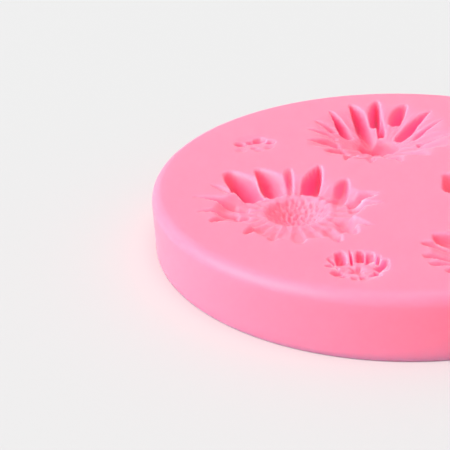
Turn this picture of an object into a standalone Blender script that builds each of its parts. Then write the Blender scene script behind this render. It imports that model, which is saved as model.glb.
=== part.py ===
"""Round silicone mould with eight flower cavities: one solid casting.

The disc stands on its flat base at z = 0, centred on the origin, with its cavities opening upwards (+Z).
Lengths are in millimetres until a mesh is made; MM turns them into metres.
Each cavity is a depth below the top face, worked out as the print of a flower pressed into it.
"""

import math

import bmesh
import bpy
import numpy as np

MM = 0.001

# The disc
DISC_RADIUS = 40.0
DISC_HEIGHT = 10.2
TOP_EDGE_ROUND = 1.8
BASE_EDGE_ROUND = 0.25
DISC_SIDES = 96
TOP_EDGE_STEPS = 4

# The silicone
SILICONE_PINK = (0.99, 0.34, 0.50, 1.0)
SILICONE_ROUGHNESS = 0.45

# Softening of every cavity's edges
RIM_SOFTNESS = 0.22
BLEND_POWER = 4.0
FLAT_BORDER = 0.3


def smooth_step(low, high, value):
    t = np.clip((value - low) / (high - low), 0.0, 1.0)
    return t * t * (3.0 - 2.0 * t)


def deepest_of(depths, power=BLEND_POWER):
    """The largest of several depths, with the ridges between them rounded."""
    return sum(depth**power for depth in depths) ** (1.0 / power)


def curve_through(points, x):
    """A smooth curve through (x, y) points in rising x, flat at both ends."""
    xs, ys = (np.array(column, float) for column in zip(*points))
    slopes = np.gradient(ys, xs)
    slopes[0] = slopes[-1] = 0.0
    x = np.clip(x, xs[0], xs[-1])
    i = np.clip(np.searchsorted(xs, x, side="right") - 1, 0, len(xs) - 2)
    span = xs[i + 1] - xs[i]
    t = (x - xs[i]) / span
    curve = (
        (2 * t**3 - 3 * t**2 + 1) * ys[i]
        + (t**3 - 2 * t**2 + t) * span * slopes[i]
        + (3 * t**2 - 2 * t**3) * ys[i + 1]
        + (t**3 - t**2) * span * slopes[i + 1]
    )
    return np.maximum(curve, 0.0)


def petal(x, y, root, tip, left, right, depth, full=3.0, taper=0.7, soft=0.0, groove=0.2):
    """Depth of one petal's print, from its root at the flower's ring out to its tip.

    left and right are its half widths at the root, seen from the root; taper says how soon it
    narrows and full how long it stays deep. groove is the half width of the fine line that runs on
    to the tip. soft rounds the right flank (+) or the left one (-), which are steep otherwise.
    """
    length = math.dist(root, tip)
    cos, sin = (tip[0] - root[0]) / length, (tip[1] - root[1]) / length
    along = ((x - root[0]) * cos + (y - root[1]) * sin) / length
    across = (y - root[1]) * cos - (x - root[0]) * sin
    f = np.clip(along, 0.0, 1.0)
    waist = 0.8 + 0.2 * smooth_step(0.0, 0.3, f)
    width = np.where(across > 0, left, right) * waist * (1.0 - f) ** taper + groove * (1.0 - f) ** 0.3
    u = np.clip(np.abs(across) / np.maximum(width, 0.04), 0.0, 1.0)
    softness = np.where(across > 0, max(-soft, 0.0), max(soft, 0.0))
    steep = 1.0 - u**3.5
    gentle = (1.0 - u) ** 2 * (1.0 + 2.0 * u)
    side = steep + (gentle - steep) * softness
    profile = smooth_step(-0.15, 0.06, along) * (1.0 - f**full)
    return depth * profile * side


def petals_depth(x, y, petals):
    return deepest_of([petal(x, y, *one[:5], **dict(one[5:])) for one in petals])


def dimple(x, y, cx, cy, size, depth, power=1.5):
    """A round hollow with sloping sides, or with a negative depth a bump."""
    d2 = ((x - cx) ** 2 + (y - cy) ** 2) / size**2
    return depth * np.clip(1.0 - d2, 0.0, 1.0) ** power


def beads(x, y, count, radius, size, height, start=0.0):
    """Small round bumps in a ring."""
    total = np.zeros_like(x)
    for k in range(count):
        a = 2 * math.pi * k / count + start
        bump = dimple(x, y, radius * math.cos(a), radius * math.sin(a), size, height, 1.0)
        total = np.maximum(total, bump)
    return total


# Large gerbera: pointed petals round a beaded ring with a seeded button.
# Each petal: root, tip, left and right half width, depth, and whatever differs from petal()'s own.
GERBERA_PETALS = [
    ((-5.3, 5.2), (-9.8, 13.8), 3.6, 3.4, 5.2, ("full", 7.0), ("taper", 0.45), ("soft", 1.0)),
    ((-2.4, 6.2), (-4.9, 14.2), 1.8, 4.6, 4.3, ("full", 6.0), ("taper", 0.55), ("soft", 1.0)),
    ((0.2, 6.6), (0.7, 13.8), 1.8, 0.5, 2.1, ("full", 3.0), ("taper", 0.4), ("soft", -1.0)),
    ((3.5, 6.0), (5.9, 14.0), 2.3, 1.7, 4.3, ("full", 7.0), ("taper", 0.7)),
    ((7.1, 1.7), (9.6, 8.1), 2.8, 2.0, 2.6, ("full", 5.0), ("taper", 0.7), ("soft", -1.0)),
    ((8.8, 0.4), (13.9, 1.4), 2.8, 1.4, 2.5, ("full", 4.0), ("taper", 0.6), ("soft", -1.0)),
    ((8.8, -1.4), (14.2, -2.0), 2.2, 1.6, 1.9, ("full", 2.0), ("taper", 0.9), ("soft", -1.0)),
    ((7.6, -6.4), (11.4, -10.0), 1.0, 0.9, 1.6, ("full", 2.0), ("taper", 0.9)),
    ((6.8, -4.8), (8.2, -12.2), 1.8, 2.8, 2.3, ("full", 5.0), ("taper", 0.5), ("soft", 1.0)),
    ((4.6, -6.8), (5.6, -14.2), 1.2, 1.8, 2.1, ("full", 5.0), ("taper", 0.5), ("soft", 0.8)),
    ((2.3, -7.2), (3.0, -12.5), 1.2, 1.3, 1.6, ("full", 6.0), ("taper", 0.4), ("soft", 0.6)),
    ((-0.2, -7.0), (-0.1, -14.0), 1.7, 1.7, 1.6, ("full", 6.0), ("taper", 0.4)),
    ((-2.6, -6.8), (-4.3, -12.6), 1.5, 1.3, 1.6, ("full", 6.0), ("taper", 0.5)),
    ((-4.8, -6.0), (-8.2, -9.8), 1.1, 1.4, 1.5, ("full", 5.0), ("taper", 0.6)),
    ((-8.2, -2.6), (-13.2, -4.6), 1.2, 2.0, 2.5, ("full", 6.0), ("taper", 0.45), ("soft", 1.0)),
    ((-8.8, -0.5), (-15.4, -0.9), 1.3, 1.5, 2.3, ("full", 2.2), ("taper", 1.2), ("soft", 0.8)),
    ((-8.8, 2.2), (-16.0, 4.9), 1.3, 1.5, 2.3, ("full", 2.2), ("taper", 1.2), ("soft", 0.8)),
    ((-9.6, 5.6), (-13.4, 9.8), 0.7, 0.9, 1.3, ("full", 1.5), ("taper", 1.3), ("soft", 0.6)),
    ((-7.0, 1.4), (-10.6, 2.4), 1.3, 1.4, 2.7, ("full", 6.0), ("taper", 0.4), ("soft", 1.0)),
    ((-7.0, -1.2), (-10.4, -2.0), 1.0, 1.2, 2.3, ("full", 6.0), ("taper", 0.4), ("soft", 1.0)),
]
# How deep it is between the petals: radius, depth
GERBERA_RING = [(0.0, 4.4), (1.6, 4.2), (3.0, 3.5), (4.0, 2.7), (4.9, 2.0), (6.6, 1.9), (7.4, 1.85)]
# Where the lobes between the petals end: angle, radius
GERBERA_LOBES = [
    (-180.0, 12.4), (-163.0, 12.4), (-140.0, 9.6), (-120.0, 11.6), (-95.0, 12.2),
    (-70.0, 12.8), (-56.0, 13.2), (-37.0, 10.7), (-15.0, 11.4), (5.0, 11.0),
    (28.0, 11.0), (90.0, 11.5), (130.0, 11.5), (150.0, 11.0), (180.0, 12.4),
]
# The seeds: how many in a ring, its radius, their size, height and start angle
GERBERA_SEEDS = [
    (6, 1.1, 0.45, 0.25, 0.0),
    (11, 2.1, 0.45, 0.25, 0.3),
    (15, 3.1, 0.5, 0.2, 0.1),
    (19, 4.1, 0.5, 0.14, 0.2),
]
GERBERA_REACH = 12.0
LOBES_FROM = 7.0
BUTTON_SHIFT = 0.6
GERBERA_BACK = GERBERA_RING[:-1] + [(8.0, 1.3), (9.5, 0.5), (11.5, 0.0)]
GERBERA_FRONT = GERBERA_RING + [(9.0, 1.7), (10.8, 1.3), (11.9, 0.3), (12.5, 0.0)]


def gerbera(x, y):
    x, y = x - 0.5, y + 0.6
    r, angle = np.hypot(x, y), np.degrees(np.arctan2(y, x))
    stretch = (GERBERA_REACH - LOBES_FROM) / (curve_through(GERBERA_LOBES, angle) - LOBES_FROM)
    r_crest = np.where(r > LOBES_FROM, LOBES_FROM + (r - LOBES_FROM) * stretch, r)
    r_crest = np.where(r > LOBES_FROM, r_crest, np.hypot(x - BUTTON_SHIFT, y))
    behind = smooth_step(2.0, 6.0, y)
    back, front = curve_through(GERBERA_BACK, r_crest), curve_through(GERBERA_FRONT, r_crest)
    crest = front + (back - front) * behind
    depth = deepest_of([crest, petals_depth(x, y, GERBERA_PETALS)])
    button = x - BUTTON_SHIFT
    seeds = sum(beads(button, y, *ring) for ring in GERBERA_SEEDS)
    return depth + seeds - beads(button, y, 19, 5.6, 0.9, 0.16, 0.2)


# Large chrysanthemum: two layers of long petals falling to a deep middle
MUM_PETALS = [
    ((-5.0, 3.2), (-7.8, 11.6), 2.0, 2.4, 4.2, ("full", 3.5), ("taper", 1.2), ("soft", 1.0)),
    ((-0.9, 3.0), (-3.2, 14.2), 2.4, 2.9, 5.0, ("full", 5.0), ("taper", 0.7), ("soft", 1.0)),
    ((0.7, 7.0), (2.2, 15.0), 2.2, 0.9, 4.8, ("full", 5.0), ("taper", 0.55), ("soft", -0.8)),
    ((1.3, 4.4), (1.7, 9.0), 0.7, 0.8, 5.0, ("full", 5.0), ("taper", 0.3)),
    ((4.1, 6.4), (7.2, 12.0), 2.6, 1.5, 4.3, ("full", 5.0), ("taper", 0.5), ("soft", -1.0)),
    ((4.0, 2.4), (11.3, 7.7), 1.8, 2.5, 4.8, ("full", 4.0), ("taper", 0.8), ("soft", -1.0)),
    ((6.4, 0.0), (12.8, 3.0), 1.5, 1.4, 3.2, ("full", 2.0), ("taper", 1.1), ("soft", -1.0)),
    ((6.6, -3.4), (13.0, -3.9), 2.0, 1.6, 3.2, ("full", 2.2), ("taper", 1.0), ("soft", -1.0)),
    ((6.2, -5.8), (10.2, -10.2), 1.6, 1.4, 3.2, ("full", 2.2), ("taper", 1.0), ("soft", -0.6)),
    ((4.2, -7.4), (6.6, -13.6), 1.6, 1.6, 3.2, ("full", 1.8), ("taper", 0.8), ("soft", -0.6)),
    ((0.7, -8.0), (1.4, -15.6), 1.6, 1.6, 3.0, ("full", 1.8), ("taper", 0.8)),
    ((-2.4, -7.8), (-3.8, -15.2), 1.6, 1.6, 3.0, ("full", 1.8), ("taper", 0.8)),
    ((-5.0, -6.6), (-8.0, -13.2), 1.6, 1.6, 3.0, ("full", 1.8), ("taper", 0.8)),
    ((-6.8, -4.6), (-11.0, -8.6), 1.9, 1.7, 3.0, ("full", 3.0), ("taper", 0.8), ("soft", 0.6)),
    ((-7.6, -2.0), (-13.4, -2.9), 2.0, 1.7, 3.0, ("full", 3.0), ("taper", 0.9), ("soft", 0.9)),
    ((-7.6, 1.0), (-12.8, 2.6), 1.8, 1.7, 2.8, ("full", 3.0), ("taper", 0.9), ("soft", 0.9)),
    ((-7.4, 3.6), (-11.0, 6.8), 1.7, 1.7, 2.6, ("full", 3.0), ("taper", 0.9), ("soft", 0.9)),
]
MUM_BACK = [
    (0.0, 7.2), (2.2, 7.1), (2.9, 6.2), (3.4, 4.7), (4.3, 3.8), (6.2, 2.8),
    (8.0, 1.8), (10.0, 0.8), (12.0, 0.2), (13.5, 0.0),
]
MUM_FRONT = [
    (0.0, 7.2), (2.2, 7.1), (2.9, 6.2), (3.4, 4.7), (4.3, 3.9), (6.4, 3.2),
    (8.0, 2.65), (9.6, 2.0), (11.2, 1.25), (12.8, 0.5), (14.2, 0.0),
]


def chrysanthemum(x, y):
    r, turn = np.hypot(x, y), np.arctan2(y, x)
    behind = smooth_step(-7.0, 0.0, y)
    scallops = 0.1 * np.cos(9 * turn) * np.exp(-((r - 3.2) / 1.0) ** 2) + 0.05 * np.cos(15 * turn + 1.0)
    r_crest = r * (1.0 + scallops * (1.0 - smooth_step(-2.5, 0.0, y)))
    back, front = curve_through(MUM_BACK, r_crest), curve_through(MUM_FRONT, r_crest)
    crest = front + (back - front) * behind
    return deepest_of([crest, petals_depth(x, y, MUM_PETALS)])


# Large lily: five broad fluted petals with blunt ends
LILY_SWIRL = math.radians(-23.4)
LILY_PETALS = [
    (
        (5.4 * math.cos(a), 5.4 * math.sin(a)),
        (14.5 * math.cos(a + LILY_SWIRL), 14.5 * math.sin(a + LILY_SWIRL)),
        4.0, 4.0, 4.6, ("full", 16.0), ("taper", 0.05), ("groove", 0.3),
    )
    for a in [math.radians(203 + 72 * k) for k in range(5)]
]
LILY_CREST = [(0.0, 3.6), (2.6, 3.6), (3.8, 2.4), (6.0, 1.9), (9.0, 1.0), (11.0, 0.2), (12.5, 0.0)]


def lily(x, y):
    depth = deepest_of([curve_through(LILY_CREST, np.hypot(x, y)), petals_depth(x, y, LILY_PETALS)])
    veins = 0.1 * np.cos(40 * np.arctan2(y, x)) * smooth_step(2.0, 4.0, depth)
    return depth + veins


# Small aster: blunt petals, long at the back, round a raised star
ASTER_PETALS = [
    ((-2.0, 1.2), (-2.0, 4.3), 0.75, 0.75, 1.9, ("full", 5.0), ("taper", 0.15)),
    ((-0.6, 1.0), (-0.5, 4.3), 0.15, 0.3, 1.7, ("full", 3.0), ("taper", 0.3), ("groove", 0.05)),
    ((0.8, 1.6), (1.1, 4.0), 0.65, 0.55, 1.9, ("full", 5.0), ("taper", 0.15)),
    ((1.8, 1.0), (2.2, 3.5), 0.5, 0.75, 2.0, ("full", 5.0), ("taper", 0.15)),
    ((2.7, 0.4), (3.4, 2.4), 0.4, 0.4, 1.3, ("full", 4.0), ("taper", 0.3), ("soft", -1.0)),
    ((2.6, -0.8), (4.7, 1.0), 0.9, 0.9, 1.8, ("full", 4.0), ("taper", 0.5), ("soft", -1.0)),
    ((2.2, -1.8), (4.2, -1.8), 0.9, 0.7, 1.7, ("full", 4.0), ("taper", 0.5), ("soft", -1.0)),
    ((1.6, -2.2), (3.0, -3.8), 0.7, 0.6, 1.4, ("full", 4.0), ("taper", 0.5)),
    ((0.4, -2.2), (0.5, -4.0), 0.6, 0.6, 1.2, ("full", 4.0), ("taper", 0.5)),
    ((-0.7, -2.2), (-1.0, -4.5), 0.6, 0.6, 1.2, ("full", 4.0), ("taper", 0.5)),
    ((-1.8, -1.8), (-2.7, -3.6), 0.6, 0.6, 1.3, ("full", 4.0), ("taper", 0.5)),
    ((-2.4, -1.0), (-4.2, -2.2), 0.6, 0.6, 1.4, ("full", 4.0), ("taper", 0.5), ("soft", 0.7)),
    ((-2.6, 0.0), (-4.6, 0.2), 0.6, 0.6, 1.5, ("full", 4.0), ("taper", 0.5), ("soft", 0.7)),
    ((-2.8, 0.9), (-3.9, 2.6), 0.5, 0.5, 1.5, ("full", 4.0), ("taper", 0.4), ("soft", 0.7)),
]
ASTER_CREST = [(0.0, 1.6), (0.5, 1.5), (1.1, 0.95), (2.4, 0.85), (3.6, 0.35), (4.4, 0.0)]


def aster(x, y):
    r = np.hypot(x, y + 0.6)
    star = 1.0 + 0.25 * np.cos(5 * np.arctan2(y + 0.6, x) + 0.5)
    return deepest_of([curve_through(ASTER_CREST, r / star), petals_depth(x, y, ASTER_PETALS)])


# Small dahlia: petals that overlap like shingles
DAHLIA_PETALS = [
    ((-0.5, 3.6), (-5.6, 4.7), 1.6, 1.3, 2.2, ("full", 10.0), ("taper", 0.12)),
    ((-1.5, 1.4), (-7.7, 3.0), 1.7, 1.3, 1.5, ("full", 7.0), ("taper", 0.3), ("soft", -1.0)),
    ((-2.0, -1.0), (-8.2, -0.9), 1.4, 1.0, 1.6, ("full", 7.0), ("taper", 0.3), ("soft", -1.0)),
    ((-2.0, -2.6), (-8.2, -3.3), 1.2, 0.8, 1.5, ("full", 7.0), ("taper", 0.3), ("soft", -1.0)),
    ((-1.6, -4.0), (-6.0, -5.8), 1.4, 1.1, 1.4, ("full", 7.0), ("taper", 0.3), ("soft", -1.0)),
    ((-0.6, -3.6), (-1.2, -7.8), 1.7, 1.7, 1.8, ("full", 7.0), ("taper", 0.3)),
    ((1.4, -3.4), (3.6, -7.2), 1.7, 1.7, 1.8, ("full", 7.0), ("taper", 0.3)),
    ((3.0, -2.0), (7.2, -3.8), 1.7, 1.7, 2.0, ("full", 7.0), ("taper", 0.3)),
    ((3.4, 0.4), (8.0, 0.8), 1.7, 1.7, 2.2, ("full", 7.0), ("taper", 0.3)),
    ((2.8, 2.4), (6.4, 5.2), 1.7, 1.7, 2.6, ("full", 7.0), ("taper", 0.3)),
    ((1.0, 3.6), (1.8, 8.0), 1.7, 1.7, 3.2, ("full", 7.0), ("taper", 0.3)),
]
DAHLIA_CREST = [(0.0, 3.0), (1.2, 2.7), (2.4, 1.8), (4.4, 1.2), (6.2, 0.4), (7.2, 0.0)]


def dahlia(x, y):
    return deepest_of([curve_through(DAHLIA_CREST, np.hypot(x, y)), petals_depth(x, y, DAHLIA_PETALS)])


def blossom(x, y):
    """Soft hollows round a small dimple, deeper at the back."""
    hollows = [
        (-1.9, 0.4, 1.4, 2.0), (-0.1, 1.2, 1.1, 1.8), (1.4, 1.7, 1.5, 2.4), (3.4, 0.3, 1.2, 1.8),
        (0.4, -1.9, 0.9, 0.9), (3.0, -2.3, 1.3, 0.5), (1.2, -3.4, 1.1, 0.4), (-2.0, -2.8, 1.4, 0.4),
    ]
    return deepest_of([dimple(x, y, *hollow) for hollow in hollows] + [dimple(x, y, 0.0, 0.8, 4.0, 0.5)])


def round_petals(x, y, angle, radius, size, depth):
    """Five round hollows and a small dimple in the middle."""
    prints = [dimple(x, y, 0.0, 0.0, 0.5 * size, 0.6 * depth)]
    for k in range(5):
        a = math.radians(angle + 72 * k)
        prints.append(dimple(x, y, radius * math.cos(a), radius * math.sin(a), size, depth))
    return deepest_of(prints)


def cinquefoil(x, y):
    return round_petals(x, y, 40.0, 3.0, 2.4, 2.4)


def tiny_blossom(x, y):
    return round_petals(x, y, 70.0, 2.0, 1.5, 1.4)


# name: shape, centre x, centre y, outer radius of its patch, angles round it, rings across it
FLOWERS = {
    "gerbera": (gerbera, -17.9, -8.4, 17.0, 96, 16),
    "chrysanthemum": (chrysanthemum, 0.9, 19.4, 16.2, 96, 15),
    "lily": (lily, 21.6, -5.2, 15.6, 84, 10),
    "aster": (aster, -10.3, -30.0, 4.9, 52, 7),
    "dahlia": (dahlia, 7.2, -28.0, 8.6, 60, 8),
    "blossom": (blossom, -22.5, 16.4, 4.9, 44, 6),
    "cinquefoil": (cinquefoil, 25.1, 19.9, 5.9, 40, 6),
    "tiny_blossom": (tiny_blossom, 20.9, -26.6, 4.0, 36, 5),
}


def cavity_depth(shape, x, y, patch_radius):
    """A flower's depth, softened at its rim and brought to nothing at the edge of its patch."""
    depth = np.maximum(shape(x, y), 0.0)
    depth = np.sqrt(depth**2 + RIM_SOFTNESS**2) - RIM_SOFTNESS
    r = np.hypot(x, y)
    return depth * (1.0 - smooth_step(patch_radius - 2 * FLAT_BORDER, patch_radius - FLAT_BORDER, r))


def add_ring(bm, points):
    return [bm.verts.new(point) for point in points]


def bridge(bm, outer, inner):
    """Quads from one ring of vertices to the next one inside or above it, seen anticlockwise from outside."""
    n = len(outer)
    for k in range(n):
        bm.faces.new((outer[k], outer[(k + 1) % n], inner[(k + 1) % n], inner[k]))


def add_cavity(bm, shape, cx, cy, patch_radius, angles, rings):
    """A flower's patch of the top face, and the edges of its outer ring."""
    turns = np.arange(angles) * 2 * math.pi / angles
    radii = patch_radius * (np.arange(1, rings + 1) / rings)
    previous = None
    for r in radii:
        x, y = r * np.cos(turns), r * np.sin(turns)
        z = DISC_HEIGHT - cavity_depth(shape, x, y, patch_radius)
        ring = add_ring(bm, np.stack([cx + x, cy + y, z], axis=1))
        if previous is None:
            zero = np.zeros(1)
            bottom = DISC_HEIGHT - cavity_depth(shape, zero, zero, patch_radius)[0]
            middle = bm.verts.new((cx, cy, bottom))
            for k in range(angles):
                bm.faces.new((ring[k], ring[(k + 1) % angles], middle))
        else:
            bridge(bm, ring, previous)
        previous = ring
    return loop_edges(bm, previous)


def loop_edges(bm, ring):
    pairs = [(ring[k], ring[(k + 1) % len(ring)]) for k in range(len(ring))]
    return [bm.edges.get(pair) or bm.edges.new(pair) for pair in pairs]


def disc_profile():
    """(radius, height) up the side of the disc, from its base to its flat top face."""
    points = [(DISC_RADIUS - BASE_EDGE_ROUND, 0.0), (DISC_RADIUS, BASE_EDGE_ROUND)]
    for k in range(TOP_EDGE_STEPS + 1):
        a = 0.5 * math.pi * k / TOP_EDGE_STEPS
        points.append((
            DISC_RADIUS - TOP_EDGE_ROUND * (1.0 - math.cos(a)),
            DISC_HEIGHT - TOP_EDGE_ROUND * (1.0 - math.sin(a)),
        ))
    return points


def add_side(bm):
    """The disc's wall and base, and the edges where the wall meets the flat top face."""
    turns = np.arange(DISC_SIDES) * 2 * math.pi / DISC_SIDES
    previous = None
    for r, z in disc_profile():
        ring = add_ring(bm, [(r * math.cos(a), r * math.sin(a), z) for a in turns])
        if previous is None:
            bm.faces.new(list(reversed(ring)))
        else:
            bridge(bm, previous, ring)
        previous = ring
    return loop_edges(bm, previous)


def silicone():
    material = bpy.data.materials.new("pink_silicone")
    material.use_nodes = True
    shader = material.node_tree.nodes["Principled BSDF"]
    shader.inputs["Base Color"].default_value = SILICONE_PINK
    shader.inputs["Roughness"].default_value = SILICONE_ROUGHNESS
    shader.inputs["Metallic"].default_value = 0.0
    return material


def mould_body():
    bm = bmesh.new()
    borders = add_side(bm)
    for flower in FLOWERS.values():
        borders += add_cavity(bm, *flower)
    bmesh.ops.triangle_fill(bm, edges=borders, use_beauty=True, normal=(0.0, 0.0, 1.0))
    bmesh.ops.triangulate(bm, faces=bm.faces[:])
    bmesh.ops.recalc_face_normals(bm, faces=bm.faces[:])
    bmesh.ops.scale(bm, vec=(MM, MM, MM), verts=bm.verts[:])
    mesh = bpy.data.meshes.new("mould_body")
    bm.to_mesh(mesh)
    bm.free()
    mesh.shade_smooth()
    mesh.set_sharp_from_angle(angle=math.radians(30.0))
    body = bpy.data.objects.new("mould_body", mesh)
    body.data.materials.append(silicone())
    bpy.context.scene.collection.objects.link(body)
    return body


def main():
    for obj in list(bpy.data.objects):
        bpy.data.objects.remove(obj, do_unlink=True)
    mould_body()


main()
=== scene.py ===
"""The silicone flower mould in a pale studio: its fine casting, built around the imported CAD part."""

import math

import bmesh
import bpy
import numpy as np
from mathutils import Matrix, Vector


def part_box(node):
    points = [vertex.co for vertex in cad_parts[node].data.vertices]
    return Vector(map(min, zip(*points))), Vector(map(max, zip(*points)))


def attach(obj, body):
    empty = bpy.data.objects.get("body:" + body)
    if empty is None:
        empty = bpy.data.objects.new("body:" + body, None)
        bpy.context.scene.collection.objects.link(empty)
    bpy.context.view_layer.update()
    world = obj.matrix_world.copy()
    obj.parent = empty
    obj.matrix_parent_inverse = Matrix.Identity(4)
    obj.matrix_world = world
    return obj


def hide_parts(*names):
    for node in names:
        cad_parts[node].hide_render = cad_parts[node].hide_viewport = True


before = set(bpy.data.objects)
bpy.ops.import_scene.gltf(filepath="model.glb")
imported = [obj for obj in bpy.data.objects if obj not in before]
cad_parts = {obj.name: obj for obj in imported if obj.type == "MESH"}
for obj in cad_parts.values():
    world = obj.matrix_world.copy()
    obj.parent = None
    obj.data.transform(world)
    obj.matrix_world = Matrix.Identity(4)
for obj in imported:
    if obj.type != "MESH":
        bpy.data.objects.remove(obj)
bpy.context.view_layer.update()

MM = 0.001

# The disc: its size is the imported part's, and its edges are rounded as the part's are, on a finer mesh
LOW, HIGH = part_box("mould_body")
DISC_RADIUS = (HIGH.x - LOW.x) / 2 / MM
DISC_HEIGHT = (HIGH.z - LOW.z) / MM
TOP_EDGE_ROUND = 1.8
BASE_EDGE_ROUND = 0.25
DISC_SIDES = 288
TOP_EDGE_STEPS = 12
BASE_EDGE_STEPS = 4
WALL_STEPS = 8

# Softening of every cavity's edges: its rim, the ridges where its prints meet, and the flat border
# that its patch of the top face keeps
RIM_SOFTNESS = 0.22
BLEND_POWER = 4.0
FLAT_BORDER = 0.3

# What all petals share: their width at the root as a share of the full one, how far along the width
# grows, how soon the groove at the tip thins, the least half width, how square a steep flank is, and
# where along the petal the slope at its root lies
ROOT_WIDTH = 0.8
WAIST_END = 0.3
GROOVE_TAPER = 0.3
LEAST_WIDTH = 0.04
SQUARENESS = 3.5
ROOT_SLOPE = (-0.15, 0.06)


def smooth_step(low, high, value):
    t = np.clip((value - low) / (high - low), 0.0, 1.0)
    return t * t * (3.0 - 2.0 * t)


def deepest_of(depths, power=BLEND_POWER):
    """The largest of several depths, with the ridges between them rounded."""
    return sum(depth**power for depth in depths) ** (1.0 / power)


def curve_through(points, x):
    """A smooth curve through (x, y) points in rising x, flat at both ends."""
    xs, ys = (np.array(column, float) for column in zip(*points))
    slopes = np.gradient(ys, xs)
    slopes[0] = slopes[-1] = 0.0
    x = np.clip(x, xs[0], xs[-1])
    i = np.clip(np.searchsorted(xs, x, side="right") - 1, 0, len(xs) - 2)
    span = xs[i + 1] - xs[i]
    t = (x - xs[i]) / span
    curve = (
        (2 * t**3 - 3 * t**2 + 1) * ys[i]
        + (t**3 - 2 * t**2 + t) * span * slopes[i]
        + (3 * t**2 - 2 * t**3) * ys[i + 1]
        + (t**3 - t**2) * span * slopes[i + 1]
    )
    return np.maximum(curve, 0.0)


def petal(x, y, root, tip, left, right, depth, full=3.0, taper=0.7, soft=0.0, groove=0.2):
    """Depth of one petal's print, from its root at the flower's ring out to its tip.

    left and right are its half widths at the root, seen from the root; taper says how soon it
    narrows and full how long it stays deep. groove is the half width of the fine line that runs on
    to the tip. soft rounds the right flank (+) or the left one (-), which are steep otherwise.
    """
    length = math.dist(root, tip)
    cos, sin = (tip[0] - root[0]) / length, (tip[1] - root[1]) / length
    along = ((x - root[0]) * cos + (y - root[1]) * sin) / length
    across = (y - root[1]) * cos - (x - root[0]) * sin
    f = np.clip(along, 0.0, 1.0)
    waist = ROOT_WIDTH + (1.0 - ROOT_WIDTH) * smooth_step(0.0, WAIST_END, f)
    width = np.where(across > 0, left, right) * waist * (1.0 - f) ** taper
    width = width + groove * (1.0 - f) ** GROOVE_TAPER
    u = np.clip(np.abs(across) / np.maximum(width, LEAST_WIDTH), 0.0, 1.0)
    softness = np.where(across > 0, max(-soft, 0.0), max(soft, 0.0))
    steep = 1.0 - u**SQUARENESS
    gentle = (1.0 - u) ** 2 * (1.0 + 2.0 * u)
    side = steep + (gentle - steep) * softness
    profile = smooth_step(*ROOT_SLOPE, along) * (1.0 - f**full)
    return depth * profile * side


def petals_depth(x, y, petals):
    """Depth of a flower's petals, each given by petal()'s arguments and then its named ones."""
    return deepest_of([petal(x, y, *one[:5], **dict(one[5:])) for one in petals])


def dimple(x, y, cx, cy, size, depth, power=1.5):
    """A round hollow with sloping sides, or with a negative depth a bump."""
    d2 = ((x - cx) ** 2 + (y - cy) ** 2) / size**2
    return depth * np.clip(1.0 - d2, 0.0, 1.0) ** power


def beads(x, y, count, radius, size, height, start=0.0):
    """Small round hollows in a ring, or bumps where they are taken from the depth."""
    total = np.zeros_like(x)
    for k in range(count):
        a = 2 * math.pi * k / count + start
        bead = dimple(x, y, radius * math.cos(a), radius * math.sin(a), size, height, 1.0)
        total = np.maximum(total, bead)
    return total


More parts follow.
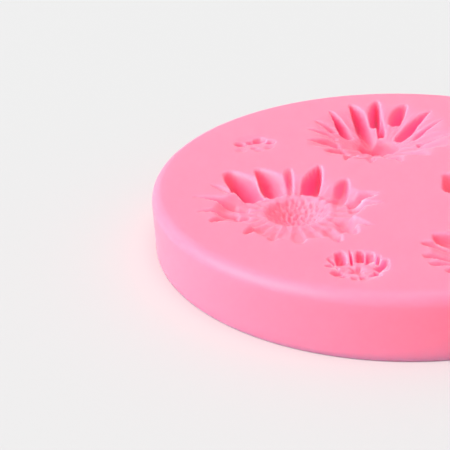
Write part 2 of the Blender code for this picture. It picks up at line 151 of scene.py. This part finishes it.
# Large gerbera: pointed petals round a beaded ring with a seeded button.
# Each petal: root, tip, left and right half width, depth, and whatever differs from petal()'s own.
# Roots and tips are measured from GERBERA_MIDDLE.
GERBERA_PETALS = [
    ((-5.3, 5.2), (-9.8, 13.8), 3.6, 3.4, 5.2, ("full", 7.0), ("taper", 0.45), ("soft", 1.0)),
    ((-2.4, 6.2), (-4.9, 14.2), 1.8, 4.6, 4.3, ("full", 6.0), ("taper", 0.55), ("soft", 1.0)),
    ((0.2, 6.6), (0.7, 13.8), 1.8, 0.5, 2.1, ("full", 3.0), ("taper", 0.4), ("soft", -1.0)),
    ((3.5, 6.0), (5.9, 14.0), 2.3, 1.7, 4.3, ("full", 7.0), ("taper", 0.7)),
    ((7.1, 1.7), (9.6, 8.1), 2.8, 2.0, 2.6, ("full", 5.0), ("taper", 0.7), ("soft", -1.0)),
    ((8.8, 0.4), (13.9, 1.4), 2.8, 1.4, 2.5, ("full", 4.0), ("taper", 0.6), ("soft", -1.0)),
    ((8.8, -1.4), (14.2, -2.0), 2.2, 1.6, 1.9, ("full", 2.0), ("taper", 0.9), ("soft", -1.0)),
    ((7.6, -6.4), (11.4, -10.0), 1.0, 0.9, 1.6, ("full", 2.0), ("taper", 0.9)),
    ((6.8, -4.8), (8.2, -12.2), 1.8, 2.8, 2.3, ("full", 5.0), ("taper", 0.5), ("soft", 1.0)),
    ((4.6, -6.8), (5.6, -14.2), 1.2, 1.8, 2.1, ("full", 5.0), ("taper", 0.5), ("soft", 0.8)),
    ((2.3, -7.2), (3.0, -12.5), 1.2, 1.3, 1.6, ("full", 6.0), ("taper", 0.4), ("soft", 0.6)),
    ((-0.2, -7.0), (-0.1, -14.0), 1.7, 1.7, 1.6, ("full", 6.0), ("taper", 0.4)),
    ((-2.6, -6.8), (-4.3, -12.6), 1.5, 1.3, 1.6, ("full", 6.0), ("taper", 0.5)),
    ((-4.8, -6.0), (-8.2, -9.8), 1.1, 1.4, 1.5, ("full", 5.0), ("taper", 0.6)),
    ((-8.2, -2.6), (-13.2, -4.6), 1.2, 2.0, 2.5, ("full", 6.0), ("taper", 0.45), ("soft", 1.0)),
    ((-8.8, -0.5), (-15.4, -0.9), 1.3, 1.5, 2.3, ("full", 2.2), ("taper", 1.2), ("soft", 0.8)),
    ((-8.8, 2.2), (-16.0, 4.9), 1.3, 1.5, 2.3, ("full", 2.2), ("taper", 1.2), ("soft", 0.8)),
    ((-9.6, 5.6), (-13.4, 9.8), 0.7, 0.9, 1.3, ("full", 1.5), ("taper", 1.3), ("soft", 0.6)),
    ((-7.0, 1.4), (-10.6, 2.4), 1.3, 1.4, 2.7, ("full", 6.0), ("taper", 0.4), ("soft", 1.0)),
    ((-7.0, -1.2), (-10.4, -2.0), 1.0, 1.2, 2.3, ("full", 6.0), ("taper", 0.4), ("soft", 1.0)),
]
# How deep it is between the petals: radius, depth
GERBERA_RING = [(0.0, 4.4), (1.6, 4.2), (3.0, 3.5), (4.0, 2.7), (4.9, 2.0), (6.6, 1.9), (7.4, 1.85)]
# Where the lobes between the petals end: angle, radius
GERBERA_LOBES = [
    (-180.0, 12.4), (-163.0, 12.4), (-140.0, 9.6), (-120.0, 11.6), (-95.0, 12.2),
    (-70.0, 12.8), (-56.0, 13.2), (-37.0, 10.7), (-15.0, 11.4), (5.0, 11.0),
    (28.0, 11.0), (90.0, 11.5), (130.0, 11.5), (150.0, 11.0), (180.0, 12.4),
]
# The seeds, ring by ring: how many, the ring's radius, their size, depth and start angle
GERBERA_SEEDS = [
    (6, 1.1, 0.45, 0.25, 0.0),
    (11, 2.1, 0.45, 0.25, 0.3),
    (15, 3.1, 0.5, 0.2, 0.1),
    (19, 4.1, 0.5, 0.14, 0.2),
]
# The bumps round them, in the same order, with their height for the depth
GERBERA_BUMPS = (19, 5.6, 0.9, 0.16, 0.2)
# The flower's middle in its patch, and how far right of it the button is
GERBERA_MIDDLE = (0.5, -0.6)
BUTTON_SHIFT = 0.6
# Where the lobes begin, and the radius in the two curves below that stands for every lobe's end
LOBES_FROM = 7.0
GERBERA_REACH = 12.0
# The y between which the flower turns from its front curve to its back one
GERBERA_TURNS = (2.0, 6.0)
GERBERA_BACK = GERBERA_RING[:-1] + [(8.0, 1.3), (9.5, 0.5), (11.5, 0.0)]
GERBERA_FRONT = GERBERA_RING + [(9.0, 1.7), (10.8, 1.3), (11.9, 0.3), (12.5, 0.0)]


def gerbera(x, y):
    x, y = x - GERBERA_MIDDLE[0], y - GERBERA_MIDDLE[1]
    r, angle = np.hypot(x, y), np.degrees(np.arctan2(y, x))
    stretch = (GERBERA_REACH - LOBES_FROM) / (curve_through(GERBERA_LOBES, angle) - LOBES_FROM)
    r_crest = np.where(r > LOBES_FROM, LOBES_FROM + (r - LOBES_FROM) * stretch, r)
    r_crest = np.where(r > LOBES_FROM, r_crest, np.hypot(x - BUTTON_SHIFT, y))
    behind = smooth_step(*GERBERA_TURNS, y)
    back, front = curve_through(GERBERA_BACK, r_crest), curve_through(GERBERA_FRONT, r_crest)
    crest = front + (back - front) * behind
    depth = deepest_of([crest, petals_depth(x, y, GERBERA_PETALS)])
    button = x - BUTTON_SHIFT
    seeds = sum(beads(button, y, *ring) for ring in GERBERA_SEEDS)
    return depth + seeds - beads(button, y, *GERBERA_BUMPS)


# Large chrysanthemum: two layers of long petals falling to a deep middle
MUM_PETALS = [
    ((-5.0, 3.2), (-7.8, 11.6), 2.0, 2.4, 4.2, ("full", 3.5), ("taper", 1.2), ("soft", 1.0)),
    ((-0.9, 3.0), (-3.2, 14.2), 2.4, 2.9, 5.0, ("full", 5.0), ("taper", 0.7), ("soft", 1.0)),
    ((0.7, 7.0), (2.2, 15.0), 2.2, 0.9, 4.8, ("full", 5.0), ("taper", 0.55), ("soft", -0.8)),
    ((1.3, 4.4), (1.7, 9.0), 0.7, 0.8, 5.0, ("full", 5.0), ("taper", 0.3)),
    ((4.1, 6.4), (7.2, 12.0), 2.6, 1.5, 4.3, ("full", 5.0), ("taper", 0.5), ("soft", -1.0)),
    ((4.0, 2.4), (11.3, 7.7), 1.8, 2.5, 4.8, ("full", 4.0), ("taper", 0.8), ("soft", -1.0)),
    ((6.4, 0.0), (12.8, 3.0), 1.5, 1.4, 3.2, ("full", 2.0), ("taper", 1.1), ("soft", -1.0)),
    ((6.6, -3.4), (13.0, -3.9), 2.0, 1.6, 3.2, ("full", 2.2), ("taper", 1.0), ("soft", -1.0)),
    ((6.2, -5.8), (10.2, -10.2), 1.6, 1.4, 3.2, ("full", 2.2), ("taper", 1.0), ("soft", -0.6)),
    ((4.2, -7.4), (6.6, -13.6), 1.6, 1.6, 3.2, ("full", 1.8), ("taper", 0.8), ("soft", -0.6)),
    ((0.7, -8.0), (1.4, -15.6), 1.6, 1.6, 3.0, ("full", 1.8), ("taper", 0.8)),
    ((-2.4, -7.8), (-3.8, -15.2), 1.6, 1.6, 3.0, ("full", 1.8), ("taper", 0.8)),
    ((-5.0, -6.6), (-8.0, -13.2), 1.6, 1.6, 3.0, ("full", 1.8), ("taper", 0.8)),
    ((-6.8, -4.6), (-11.0, -8.6), 1.9, 1.7, 3.0, ("full", 3.0), ("taper", 0.8), ("soft", 0.6)),
    ((-7.6, -2.0), (-13.4, -2.9), 2.0, 1.7, 3.0, ("full", 3.0), ("taper", 0.9), ("soft", 0.9)),
    ((-7.6, 1.0), (-12.8, 2.6), 1.8, 1.7, 2.8, ("full", 3.0), ("taper", 0.9), ("soft", 0.9)),
    ((-7.4, 3.6), (-11.0, 6.8), 1.7, 1.7, 2.6, ("full", 3.0), ("taper", 0.9), ("soft", 0.9)),
]
MUM_BACK = [
    (0.0, 7.2), (2.2, 7.1), (2.9, 6.2), (3.4, 4.7), (4.3, 3.8), (6.2, 2.8),
    (8.0, 1.8), (10.0, 0.8), (12.0, 0.2), (13.5, 0.0),
]
MUM_FRONT = [
    (0.0, 7.2), (2.2, 7.1), (2.9, 6.2), (3.4, 4.7), (4.3, 3.9), (6.4, 3.2),
    (8.0, 2.65), (9.6, 2.0), (11.2, 1.25), (12.8, 0.5), (14.2, 0.0),
]
# The y between which the flower turns from its front curve to its back one
MUM_TURNS = (-7.0, 0.0)
# Scallops round the middle: how many, how strong, and the radius that they keep close to
MUM_SCALLOPS = (9, 0.1, 3.2)
# Waves at every radius: how many, how strong, and their start angle
MUM_WAVES = (15, 0.05, 1.0)
# The y between which both fade out
MUM_WAVES_FADE = (-2.5, 0.0)


def chrysanthemum(x, y):
    r, turn = np.hypot(x, y), np.arctan2(y, x)
    behind = smooth_step(*MUM_TURNS, y)
    count, strength, radius = MUM_SCALLOPS
    scallops = strength * np.cos(count * turn) * np.exp(-((r - radius) ** 2))
    count, strength, start = MUM_WAVES
    waves = strength * np.cos(count * turn + start)
    r_crest = r * (1.0 + (scallops + waves) * (1.0 - smooth_step(*MUM_WAVES_FADE, y)))
    back, front = curve_through(MUM_BACK, r_crest), curve_through(MUM_FRONT, r_crest)
    crest = front + (back - front) * behind
    return deepest_of([crest, petals_depth(x, y, MUM_PETALS)])


# Large lily: five broad fluted petals with blunt ends. The first one's angle in degrees, how far the
# tips are turned from the roots, and how far out both lie
LILY_FIRST = 203
LILY_SWIRL = math.radians(-23.4)
LILY_ROOTS = 5.4
LILY_TIPS = 14.5
LILY_PETALS = [
    (
        (LILY_ROOTS * math.cos(a), LILY_ROOTS * math.sin(a)),
        (LILY_TIPS * math.cos(a + LILY_SWIRL), LILY_TIPS * math.sin(a + LILY_SWIRL)),
        4.0, 4.0, 4.6, ("full", 16.0), ("taper", 0.05), ("groove", 0.3),
    )
    for a in [math.radians(LILY_FIRST + 72 * k) for k in range(5)]
]
LILY_CREST = [(0.0, 3.6), (2.6, 3.6), (3.8, 2.4), (6.0, 1.9), (9.0, 1.0), (11.0, 0.2), (12.5, 0.0)]
# Its flutes: how many, how deep, and the depths between which they appear
LILY_FLUTES = (40, 0.1)
FLUTES_FROM = (2.0, 4.0)


def lily(x, y):
    depth = deepest_of([curve_through(LILY_CREST, np.hypot(x, y)), petals_depth(x, y, LILY_PETALS)])
    count, strength = LILY_FLUTES
    flutes = strength * np.cos(count * np.arctan2(y, x)) * smooth_step(*FLUTES_FROM, depth)
    return depth + flutes


# Small aster: blunt petals, long at the back, round a star-shaped hollow
ASTER_PETALS = [
    ((-2.0, 1.2), (-2.0, 4.3), 0.75, 0.75, 1.9, ("full", 5.0), ("taper", 0.15)),
    ((-0.6, 1.0), (-0.5, 4.3), 0.15, 0.3, 1.7, ("full", 3.0), ("taper", 0.3), ("groove", 0.05)),
    ((0.8, 1.6), (1.1, 4.0), 0.65, 0.55, 1.9, ("full", 5.0), ("taper", 0.15)),
    ((1.8, 1.0), (2.2, 3.5), 0.5, 0.75, 2.0, ("full", 5.0), ("taper", 0.15)),
    ((2.7, 0.4), (3.4, 2.4), 0.4, 0.4, 1.3, ("full", 4.0), ("taper", 0.3), ("soft", -1.0)),
    ((2.6, -0.8), (4.7, 1.0), 0.9, 0.9, 1.8, ("full", 4.0), ("taper", 0.5), ("soft", -1.0)),
    ((2.2, -1.8), (4.2, -1.8), 0.9, 0.7, 1.7, ("full", 4.0), ("taper", 0.5), ("soft", -1.0)),
    ((1.6, -2.2), (3.0, -3.8), 0.7, 0.6, 1.4, ("full", 4.0), ("taper", 0.5)),
    ((0.4, -2.2), (0.5, -4.0), 0.6, 0.6, 1.2, ("full", 4.0), ("taper", 0.5)),
    ((-0.7, -2.2), (-1.0, -4.5), 0.6, 0.6, 1.2, ("full", 4.0), ("taper", 0.5)),
    ((-1.8, -1.8), (-2.7, -3.6), 0.6, 0.6, 1.3, ("full", 4.0), ("taper", 0.5)),
    ((-2.4, -1.0), (-4.2, -2.2), 0.6, 0.6, 1.4, ("full", 4.0), ("taper", 0.5), ("soft", 0.7)),
    ((-2.6, 0.0), (-4.6, 0.2), 0.6, 0.6, 1.5, ("full", 4.0), ("taper", 0.5), ("soft", 0.7)),
    ((-2.8, 0.9), (-3.9, 2.6), 0.5, 0.5, 1.5, ("full", 4.0), ("taper", 0.4), ("soft", 0.7)),
]
ASTER_CREST = [(0.0, 1.6), (0.5, 1.5), (1.1, 0.95), (2.4, 0.85), (3.6, 0.35), (4.4, 0.0)]
# The star: how far in front of the patch's middle, its points, how far they reach out, and their turn
ASTER_SHIFT = 0.6
ASTER_STAR = (5, 0.25, 0.5)


def aster(x, y):
    r = np.hypot(x, y + ASTER_SHIFT)
    points, strength, start = ASTER_STAR
    star = 1.0 + strength * np.cos(points * np.arctan2(y + ASTER_SHIFT, x) + start)
    return deepest_of([curve_through(ASTER_CREST, r / star), petals_depth(x, y, ASTER_PETALS)])


# Small dahlia: petals that overlap like shingles
DAHLIA_PETALS = [
    ((-0.5, 3.6), (-5.6, 4.7), 1.6, 1.3, 2.2, ("full", 10.0), ("taper", 0.12)),
    ((-1.5, 1.4), (-7.7, 3.0), 1.7, 1.3, 1.5, ("full", 7.0), ("taper", 0.3), ("soft", -1.0)),
    ((-2.0, -1.0), (-8.2, -0.9), 1.4, 1.0, 1.6, ("full", 7.0), ("taper", 0.3), ("soft", -1.0)),
    ((-2.0, -2.6), (-8.2, -3.3), 1.2, 0.8, 1.5, ("full", 7.0), ("taper", 0.3), ("soft", -1.0)),
    ((-1.6, -4.0), (-6.0, -5.8), 1.4, 1.1, 1.4, ("full", 7.0), ("taper", 0.3), ("soft", -1.0)),
    ((-0.6, -3.6), (-1.2, -7.8), 1.7, 1.7, 1.8, ("full", 7.0), ("taper", 0.3)),
    ((1.4, -3.4), (3.6, -7.2), 1.7, 1.7, 1.8, ("full", 7.0), ("taper", 0.3)),
    ((3.0, -2.0), (7.2, -3.8), 1.7, 1.7, 2.0, ("full", 7.0), ("taper", 0.3)),
    ((3.4, 0.4), (8.0, 0.8), 1.7, 1.7, 2.2, ("full", 7.0), ("taper", 0.3)),
    ((2.8, 2.4), (6.4, 5.2), 1.7, 1.7, 2.6, ("full", 7.0), ("taper", 0.3)),
    ((1.0, 3.6), (1.8, 8.0), 1.7, 1.7, 3.2, ("full", 7.0), ("taper", 0.3)),
]
DAHLIA_CREST = [(0.0, 3.0), (1.2, 2.7), (2.4, 1.8), (4.4, 1.2), (6.2, 0.4), (7.2, 0.0)]


def dahlia(x, y):
    return deepest_of([curve_through(DAHLIA_CREST, np.hypot(x, y)), petals_depth(x, y, DAHLIA_PETALS)])


# Small blossom: soft hollows, deeper at the back, in a shallow dip. Each: x, y, size, depth
BLOSSOM_HOLLOWS = [
    (-1.9, 0.4, 1.4, 2.0), (-0.1, 1.2, 1.1, 1.8), (1.4, 1.7, 1.5, 2.4), (3.4, 0.3, 1.2, 1.8),
    (0.4, -1.9, 0.9, 0.9), (3.0, -2.3, 1.3, 0.5), (1.2, -3.4, 1.1, 0.4), (-2.0, -2.8, 1.4, 0.4),
]
BLOSSOM_DIP = (0.0, 0.8, 4.0, 0.5)


def blossom(x, y):
    return deepest_of([dimple(x, y, *hollow) for hollow in BLOSSOM_HOLLOWS + [BLOSSOM_DIP]])


# The middle dimple of the two smallest flowers, as shares of their petals' size and depth
MIDDLE_SIZE = 0.5
MIDDLE_DEPTH = 0.6


def round_petals(x, y, angle, radius, size, depth):
    """Five round hollows and a small dimple in the middle."""
    prints = [dimple(x, y, 0.0, 0.0, MIDDLE_SIZE * size, MIDDLE_DEPTH * depth)]
    for k in range(5):
        a = math.radians(angle + 72 * k)
        prints.append(dimple(x, y, radius * math.cos(a), radius * math.sin(a), size, depth))
    return deepest_of(prints)


def cinquefoil(x, y):
    return round_petals(x, y, 40.0, 3.0, 2.4, 2.4)


def tiny_blossom(x, y):
    return round_petals(x, y, 70.0, 2.0, 1.5, 1.4)


# name: shape, centre x, centre y, outer radius of its patch, angles round it, rings across it
FLOWERS = {
    "gerbera": (gerbera, -17.9, -8.4, 17.0, 96, 16),
    "chrysanthemum": (chrysanthemum, 0.9, 19.4, 16.2, 96, 15),
    "lily": (lily, 21.6, -5.2, 15.6, 84, 10),
    "aster": (aster, -10.3, -30.0, 4.9, 52, 7),
    "dahlia": (dahlia, 7.2, -28.0, 8.6, 60, 8),
    "blossom": (blossom, -22.5, 16.4, 4.9, 44, 6),
    "cinquefoil": (cinquefoil, 25.1, 19.9, 5.9, 40, 6),
    "tiny_blossom": (tiny_blossom, 20.9, -26.6, 4.0, 36, 5),
}


def cavity_depth(shape, x, y, patch_radius):
    """A flower's depth, softened at its rim and brought to nothing at the edge of its patch."""
    depth = np.maximum(shape(x, y), 0.0)
    depth = np.sqrt(depth**2 + RIM_SOFTNESS**2) - RIM_SOFTNESS
    r = np.hypot(x, y)
    return depth * (1.0 - smooth_step(patch_radius - 2 * FLAT_BORDER, patch_radius - FLAT_BORDER, r))


# How much finer each patch is than the CAD part's
FINER_ANGLES = 3
FINER_RINGS = 5

# Fine prints too small for the CAD part. Seeds: how many, how far out, their size and depth
SEEDS = (110, 4.7, 0.42, 0.3)
GOLDEN_TURN = math.radians(137.5)
# Creases: how many, where they start and end, their half width and height
GERBERA_CREASES = (26, 5.2, 10.5, 0.32, 0.22)
MUM_CREASES = (34, 3.2, 13.0, 0.3, 0.2)
# How far they take to rise from their start and to fade before their end
CREASE_RISE = 1.0
CREASE_FADE = 2.0
# The cavity's depth at which the fine prints are whole
PRINTED_FROM = 0.8


def seed_prints(x, y):
    """Little hollows packed like a sunflower's seeds."""
    count, reach, size, depth = SEEDS
    prints = np.zeros_like(x)
    for k in range(count):
        r = reach * math.sqrt((k + 0.5) / count)
        a = k * GOLDEN_TURN
        prints = np.maximum(prints, dimple(x, y, r * math.cos(a), r * math.sin(a), size, depth, 1.0))
    return prints


def creases(x, y, count, start, end, width, height):
    """Fine raised lines that run outwards."""
    r, turn = np.hypot(x, y), np.arctan2(y, x)
    off = 2.0 * r / count * np.abs(np.sin(0.5 * count * turn))
    fade = smooth_step(start, start + CREASE_RISE, r) * (1.0 - smooth_step(end - CREASE_FADE, end, r))
    return height * fade * np.exp(-((off / width) ** 2))


def gerbera_detail(x, y):
    x, y = x - GERBERA_MIDDLE[0], y - GERBERA_MIDDLE[1]
    return seed_prints(x - BUTTON_SHIFT, y) - creases(x, y, *GERBERA_CREASES)


def chrysanthemum_detail(x, y):
    return -creases(x, y, *MUM_CREASES)


DETAILS = {gerbera: gerbera_detail, chrysanthemum: chrysanthemum_detail}


def printed_depth(shape, x, y, patch_radius):
    """A flower's depth with its fine prints."""
    depth = cavity_depth(shape, x, y, patch_radius)
    if shape in DETAILS:
        depth += DETAILS[shape](x, y) * smooth_step(0.0, PRINTED_FROM, depth)
    return depth


def grid_faces(rings, angles, offset):
    """Quads between rings of vertices numbered ring by ring from offset, each ring anticlockwise."""
    ring, turn = np.meshgrid(np.arange(rings - 1), np.arange(angles), indexing="ij")
    after = (turn + 1) % angles
    this, outer = ring * angles, (ring + 1) * angles
    corners = [this + turn, outer + turn, outer + after, this + after]
    return offset + np.stack(corners, axis=-1).reshape(-1, 4)


def cavity_patch(shape, cx, cy, patch_radius, angles, rings):
    """Vertices of a flower's patch of the top face: its middle, then ring by ring outwards."""
    turns = np.arange(angles) * 2 * math.pi / angles
    radii = patch_radius * np.arange(1, rings + 1) / rings
    r, a = np.meshgrid(radii, turns, indexing="ij")
    x, y = (r * np.cos(a)).ravel(), (r * np.sin(a)).ravel()
    x, y = np.append(0.0, x), np.append(0.0, y)
    z = DISC_HEIGHT - printed_depth(shape, x, y, patch_radius)
    return np.stack([cx + x, cy + y, z], axis=1)


def disc_profile():
    """(radius, height) up the side of the disc, from its base to its flat top face."""
    points = []
    for k in range(BASE_EDGE_STEPS + 1):
        a = 0.5 * math.pi * k / BASE_EDGE_STEPS
        points.append((
            DISC_RADIUS - BASE_EDGE_ROUND * (1.0 - math.sin(a)),
            BASE_EDGE_ROUND * (1.0 - math.cos(a)),
        ))
    wall = DISC_HEIGHT - TOP_EDGE_ROUND - BASE_EDGE_ROUND
    points += [(DISC_RADIUS, BASE_EDGE_ROUND + wall * k / WALL_STEPS) for k in range(1, WALL_STEPS)]
    for k in range(TOP_EDGE_STEPS + 1):
        a = 0.5 * math.pi * k / TOP_EDGE_STEPS
        points.append((
            DISC_RADIUS - TOP_EDGE_ROUND * (1.0 - math.cos(a)),
            DISC_HEIGHT - TOP_EDGE_ROUND * (1.0 - math.sin(a)),
        ))
    return points


def ring_edges(bm, ring):
    """The edges round a ring of vertices, made where there are none yet."""
    pairs = [(ring[k], ring[(k + 1) % len(ring)]) for k in range(len(ring))]
    return [bm.edges.get(pair) or bm.edges.new(pair) for pair in pairs]


def fine_mould():
    """The whole casting as one closed mesh."""
    verts, faces, borders = [], [], []
    turns = np.arange(DISC_SIDES) * 2 * math.pi / DISC_SIDES
    profile = disc_profile()
    for r, z in profile:
        verts.append(np.stack([r * np.cos(turns), r * np.sin(turns), np.full(DISC_SIDES, z)], axis=1))
    faces += grid_faces(len(profile), DISC_SIDES, 0)[:, ::-1].tolist()
    faces.append(list(range(DISC_SIDES))[::-1])
    count = len(profile) * DISC_SIDES
    borders.append(range(count - DISC_SIDES, count))
    for shape, cx, cy, patch_radius, angles, rings in FLOWERS.values():
        angles, rings = angles * FINER_ANGLES, rings * FINER_RINGS
        patch = cavity_patch(shape, cx, cy, patch_radius, angles, rings)
        verts.append(patch)
        first = count + 1
        for k in range(angles):
            faces.append([count, first + k, first + (k + 1) % angles])
        faces += grid_faces(rings, angles, first).tolist()
        count += len(patch)
        borders.append(range(count - angles, count))
    mesh = bpy.data.meshes.new("mould_casting")
    mesh.from_pydata(np.concatenate(verts) * MM, [], faces)
    bm = bmesh.new()
    bm.from_mesh(mesh)
    bm.verts.ensure_lookup_table()
    edges = []
    for border in borders:
        edges += ring_edges(bm, [bm.verts[i] for i in border])
    bmesh.ops.triangle_fill(bm, edges=edges, use_beauty=True, normal=(0.0, 0.0, 1.0))
    bmesh.ops.recalc_face_normals(bm, faces=bm.faces[:])
    bm.to_mesh(mesh)
    bm.free()
    mesh.shade_smooth()
    body = bpy.data.objects.new("mould_casting", mesh)
    bpy.context.scene.collection.objects.link(body)
    return body


# Silicone: how light scatters in it, its colours with a deeper pink painted into its hollows as shade,
# the reach and range of what counts as a hollow for that painted shade, its gloss, its clouds and its grain
SCATTER_RADIUS = (1.0, 0.6, 0.66)
SCATTER_SCALE = 0.005
SILICONE_IOR = 1.41
# The first pink is painted shade, laid where ambient occlusion finds a hollow; the second is the open
# silicone's own pink.
PAINTED_SHADE_PINK = (0.99, 0.185, 0.43, 1.0)
OPEN_PINK = (0.99, 0.22, 0.342, 1.0)
CLOUDY_TINT = (1.0, 0.93, 0.95, 1.0)
PAINTED_SHADE_REACH = 0.006
PAINTED_SHADE_RANGE = (0.1, 0.6)
PAINTED_SHADE_SAMPLES = 8
ROUGHNESS_RANGE = (0.38, 0.50)
CLOUD_SCALE = 45.0
CLOUD_DETAIL = 3.0
GRAIN_SCALE = 1400.0
GRAIN_DETAIL = 2.0
GRAIN_STRENGTH = 0.12
GRAIN_DEPTH = 0.0001


def silicone():
    """Soft translucent silicone: a deeper pink painted into its hollows as shade, a little cloudy, with a
    fine satin grain.
    """
    material = bpy.data.materials.new("pink_silicone")
    material.use_nodes = True
    nodes, links = material.node_tree.nodes, material.node_tree.links
    shader = nodes["Principled BSDF"]
    shader.inputs["Subsurface Weight"].default_value = 1.0
    shader.inputs["Subsurface Radius"].default_value = SCATTER_RADIUS
    shader.inputs["Subsurface Scale"].default_value = SCATTER_SCALE
    shader.inputs["IOR"].default_value = SILICONE_IOR

    place = nodes.new("ShaderNodeTexCoord")
    clouds = nodes.new("ShaderNodeTexNoise")
    clouds.inputs["Scale"].default_value = CLOUD_SCALE
    clouds.inputs["Detail"].default_value = CLOUD_DETAIL
    links.new(place.outputs["Object"], clouds.inputs["Vector"])
    grain = nodes.new("ShaderNodeTexNoise")
    grain.inputs["Scale"].default_value = GRAIN_SCALE
    grain.inputs["Detail"].default_value = GRAIN_DETAIL
    links.new(place.outputs["Object"], grain.inputs["Vector"])

    # Painted shade: ambient occlusion turns the colour from the open pink to the deeper pink in hollows,
    # where shade falls.
    shade_occlusion = nodes.new("ShaderNodeAmbientOcclusion")
    shade_occlusion.samples = PAINTED_SHADE_SAMPLES
    shade_occlusion.inputs["Distance"].default_value = PAINTED_SHADE_REACH
    colour = nodes.new("ShaderNodeMix")
    colour.data_type = "RGBA"
    colour.inputs["A"].default_value = PAINTED_SHADE_PINK
    colour.inputs["B"].default_value = OPEN_PINK
    painted_shade_factor = nodes.new("ShaderNodeMapRange")
    painted_shade_factor.inputs["From Min"].default_value, painted_shade_factor.inputs["From Max"].default_value = PAINTED_SHADE_RANGE
    links.new(shade_occlusion.outputs["AO"], painted_shade_factor.inputs["Value"])
    links.new(painted_shade_factor.outputs["Result"], colour.inputs["Factor"])
    tint = nodes.new("ShaderNodeMix")
    tint.data_type = "RGBA"
    tint.blend_type = "MULTIPLY"
    tint.inputs["B"].default_value = CLOUDY_TINT
    links.new(clouds.outputs["Fac"], tint.inputs["Factor"])
    links.new(colour.outputs["Result"], tint.inputs["A"])
    links.new(tint.outputs["Result"], shader.inputs["Base Color"])

    gloss = nodes.new("ShaderNodeMapRange")
    gloss.inputs["To Min"].default_value, gloss.inputs["To Max"].default_value = ROUGHNESS_RANGE
    links.new(clouds.outputs["Fac"], gloss.inputs["Value"])
    links.new(gloss.outputs["Result"], shader.inputs["Roughness"])
    bump = nodes.new("ShaderNodeBump")
    bump.inputs["Strength"].default_value = GRAIN_STRENGTH
    bump.inputs["Distance"].default_value = GRAIN_DEPTH
    links.new(grain.outputs["Fac"], bump.inputs["Height"])
    links.new(bump.outputs["Normal"], shader.inputs["Normal"])
    return material


# Studio: floor paper, just under the mould, world, and each lamp's energy, the angle across it and its
# turns about X and Y, in degrees
FLOOR_HALF = 3.0
FLOOR_TOP = -0.00002
FLOOR_GREY = (0.56, 0.56, 0.56, 1.0)
FLOOR_ROUGHNESS = 1.0
WORLD_STRENGTH = 0.72
LAMPS = {
    "key": (3.64, 50.0, 14.3, -55.4),
    "overhead": (0.52, 25.0, 4.0, 8.8),
}


def floor():
    """A plain grey sheet that the mould stands on."""
    corners = [(-1, -1), (1, -1), (1, 1), (-1, 1)]
    mesh = bpy.data.meshes.new("floor")
    mesh.from_pydata([(x * FLOOR_HALF, y * FLOOR_HALF, FLOOR_TOP) for x, y in corners], [], [(0, 1, 2, 3)])
    paper = bpy.data.materials.new("floor_paper")
    paper.use_nodes = True
    shader = paper.node_tree.nodes["Principled BSDF"]
    shader.inputs["Base Color"].default_value = FLOOR_GREY
    shader.inputs["Roughness"].default_value = FLOOR_ROUGHNESS
    mesh.materials.append(paper)
    sheet = bpy.data.objects.new("floor", mesh)
    bpy.context.scene.collection.objects.link(sheet)


def lamp(name, energy, across, turn_x, turn_y):
    """A soft light from far away."""
    light = bpy.data.lights.new(name, "SUN")
    light.energy = energy
    light.angle = math.radians(across)
    holder = bpy.data.objects.new(name, light)
    holder.rotation_euler = (math.radians(turn_x), math.radians(turn_y), 0.0)
    bpy.context.scene.collection.objects.link(holder)


def studio():
    """Floor, soft lights and an even pale world."""
    floor()
    world = bpy.data.worlds.new("studio")
    world.use_nodes = True
    background = world.node_tree.nodes["Background"]
    background.inputs["Color"].default_value = (1.0, 1.0, 1.0, 1.0)
    background.inputs["Strength"].default_value = WORLD_STRENGTH
    bpy.context.scene.world = world
    for name, values in LAMPS.items():
        lamp(name, *values)
    bpy.context.scene.view_settings.view_transform = "Standard"


# Camera, measured from the disc's centre on the floor, its angles in degrees
CAMERA_PLACE = Vector((-28.206, -150.949, 78.555)) * MM
CAMERA_PITCH = 26.75
CAMERA_ROLL = -3.75
LENS = 80.0
SENSOR = 36.0
NEAREST = 0.01


def camera():
    """The view from in front of the mould and above, with its right third outside the frame."""
    data = bpy.data.cameras.new("camera")
    data.lens = LENS
    data.sensor_width = SENSOR
    data.clip_start = NEAREST
    cam = bpy.data.objects.new("camera", data)
    tilt = Matrix.Rotation(math.radians(90.0 - CAMERA_PITCH), 4, "X")
    roll = Matrix.Rotation(math.radians(CAMERA_ROLL), 4, "Z")
    cam.matrix_world = Matrix.Translation(CAMERA_PLACE) @ tilt @ roll
    bpy.context.scene.collection.objects.link(cam)
    bpy.context.scene.camera = cam


def main():
    camera()
    studio()
    body = fine_mould()
    body.data.materials.append(silicone())
    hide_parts("mould_body")
    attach(body, "root")


main()
